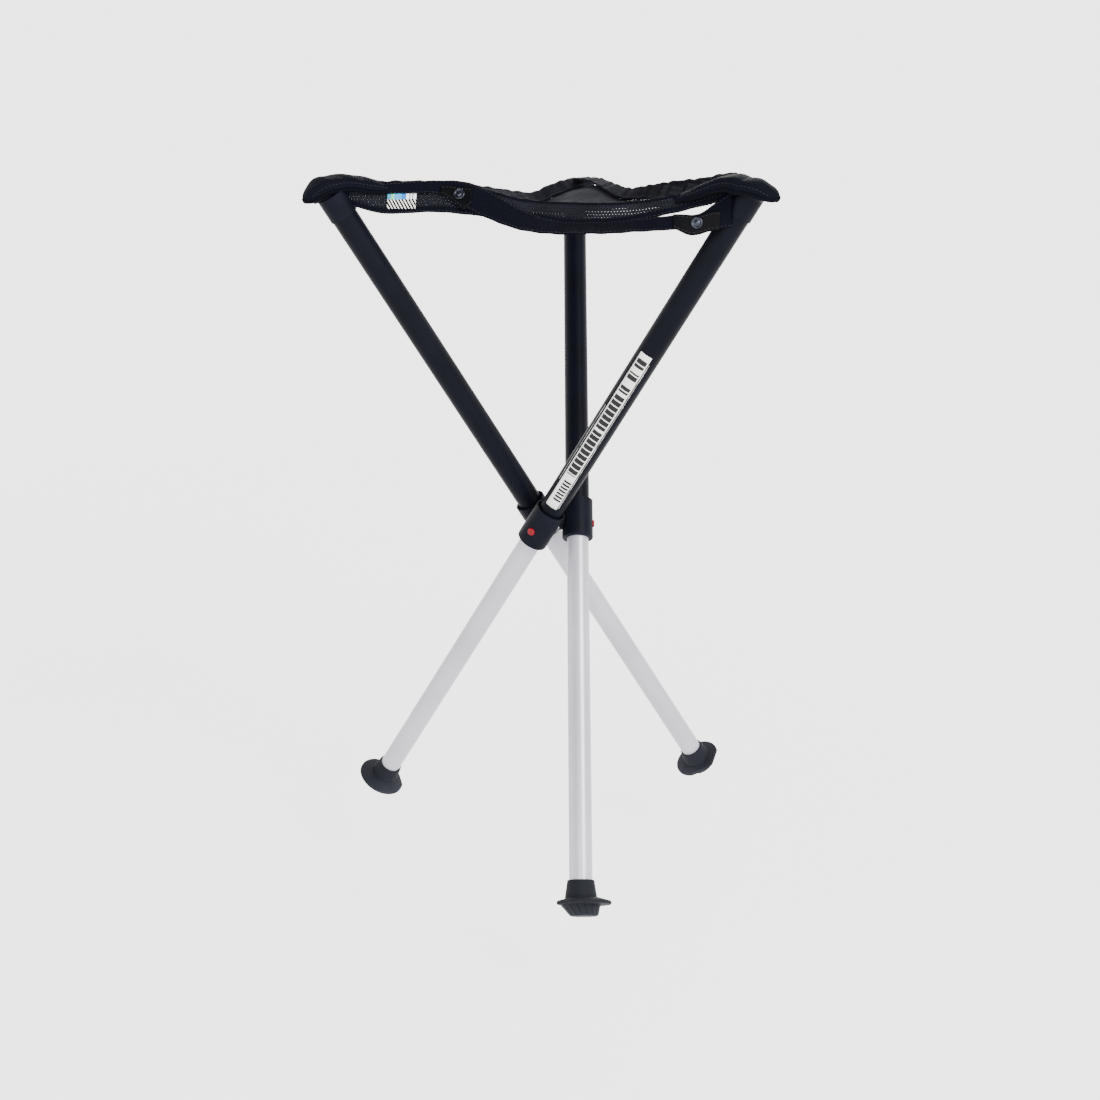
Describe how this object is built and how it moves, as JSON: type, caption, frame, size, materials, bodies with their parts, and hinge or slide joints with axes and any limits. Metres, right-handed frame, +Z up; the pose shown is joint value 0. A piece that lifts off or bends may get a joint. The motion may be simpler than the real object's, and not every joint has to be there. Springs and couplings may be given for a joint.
{
  "type": "tripod stool",
  "caption": "Folding tripod stool with a mesh sling seat, crossed telescopic legs on a pivot hub, push-button leg locks and broad rubber feet",
  "frame": {"origin": "on the ground below the middle of the outline", "axes": "Z up, X to the right as the stool is seen from its lowest front leg, Y to the back"},
  "size_m": [0.4043, 0.4565, 0.6595],
  "materials": {
    "upper_tube": "satin black anodised tube",
    "lower_tube": "matt natural anodised tube",
    "moulding": "fine-grained black moulding",
    "foot_rubber": "matt black rubber",
    "webbing": "black woven webbing",
    "mesh": "open black mesh",
    "button": "glossy red",
    "spring_steel": "plain steel",
    "hub_metal": "machined",
    "stud_metal": "black lacquer"
  },
  "bodies": {
    "hub": {"hub_spider": "hub_metal", "pivot_screw_1": "spring_steel", "pivot_screw_2": "spring_steel", "pivot_screw_3": "spring_steel", "pivot_washer_1": "spring_steel", "pivot_washer_2": "spring_steel", "pivot_washer_3": "spring_steel", "seat_panel": "mesh", "seat_flap": "mesh", "hem_left": "webbing", "hem_right": "webbing", "hem_front": "webbing", "corner_patch_1": "webbing", "corner_patch_2": "webbing", "corner_patch_3": "webbing", "strap": "webbing", "strap_tab_left": "webbing", "strap_tab_right": "webbing", "press_stud_left": "stud_metal", "press_stud_right": "stud_metal"},
    "leg_1": {"outer_tube_1": "upper_tube", "sleeve_1": "moulding", "tube_cap_1": "moulding", "corner_pocket_1": "webbing"},
    "lower_1": {"inner_tube_1": "lower_tube", "guide_bush_1": "moulding", "foot_1": "foot_rubber", "lock_spring_1": "spring_steel"},
    "button_1": {"button_1": "button"},
    "leg_2": {"outer_tube_2": "upper_tube", "sleeve_2": "moulding", "tube_cap_2": "moulding", "corner_pocket_2": "webbing"},
    "lower_2": {"inner_tube_2": "lower_tube", "guide_bush_2": "moulding", "foot_2": "foot_rubber", "lock_spring_2": "spring_steel"},
    "button_2": {"button_2": "button"},
    "leg_3": {"outer_tube_3": "upper_tube", "sleeve_3": "moulding", "tube_cap_3": "moulding", "corner_pocket_3": "webbing"},
    "lower_3": {"inner_tube_3": "lower_tube", "guide_bush_3": "moulding", "foot_3": "foot_rubber", "lock_spring_3": "spring_steel"},
    "button_3": {"button_3": "button"}
  },
  "joints": [
    {"name": "fold_1", "type": "hinge", "parent": "hub", "child": "leg_1", "pos_m": [0.0405, -0.0015, 0.32434], "axis": [1, 0, 0], "range_deg": [0, 33.58], "deforming": ["seat_panel", "seat_flap", "hem_left", "hem_right", "hem_front", "corner_patch_1", "corner_patch_2", "corner_patch_3", "strap", "strap_tab_left", "strap_tab_right", "press_stud_left", "press_stud_right"]},
    {"name": "fold_2", "type": "hinge", "parent": "hub", "child": "leg_2", "pos_m": [0.0033, 0.01998, 0.32434], "axis": [-0.5, 0.866, 0], "range_deg": [0, 33.58]},
    {"name": "fold_3", "type": "hinge", "parent": "hub", "child": "leg_3", "pos_m": [0.0033, -0.02298, 0.32434], "axis": [-0.5, -0.866, 0], "range_deg": [0, 33.58]},
    {"name": "slide_1", "type": "slide", "parent": "leg_1", "child": "lower_1", "axis": [0, 0.5531, 0.8331], "range_m": [0, 0.32], "deforming": ["lock_spring_1"]},
    {"name": "slide_2", "type": "slide", "parent": "leg_2", "child": "lower_2", "axis": [-0.479, -0.2766, 0.8331], "range_m": [0, 0.32], "deforming": ["lock_spring_2"]},
    {"name": "slide_3", "type": "slide", "parent": "leg_3", "child": "lower_3", "axis": [0.479, -0.2766, 0.8331], "range_m": [0, 0.32], "deforming": ["lock_spring_3"]},
    {"name": "press_1", "type": "slide", "parent": "leg_1", "child": "button_1", "axis": [-1, 0, 0], "range_m": [0, 0.0022], "stiffness_N_per_m": 400, "springref_m": -0.001, "deforming": ["lock_spring_1"]},
    {"name": "press_2", "type": "slide", "parent": "leg_2", "child": "button_2", "axis": [0.5, -0.866, 0], "range_m": [0, 0.0022], "stiffness_N_per_m": 400, "springref_m": -0.001, "deforming": ["lock_spring_2"]},
    {"name": "press_3", "type": "slide", "parent": "leg_3", "child": "button_3", "axis": [0.5, 0.866, 0], "range_m": [0, 0.0022], "stiffness_N_per_m": 400, "springref_m": -0.001, "deforming": ["lock_spring_3"]}
  ],
  "couplings": [
    {"joint": "fold_2", "follows": "fold_1", "ratio": 1},
    {"joint": "fold_3", "follows": "fold_1", "ratio": 1}
  ]
}
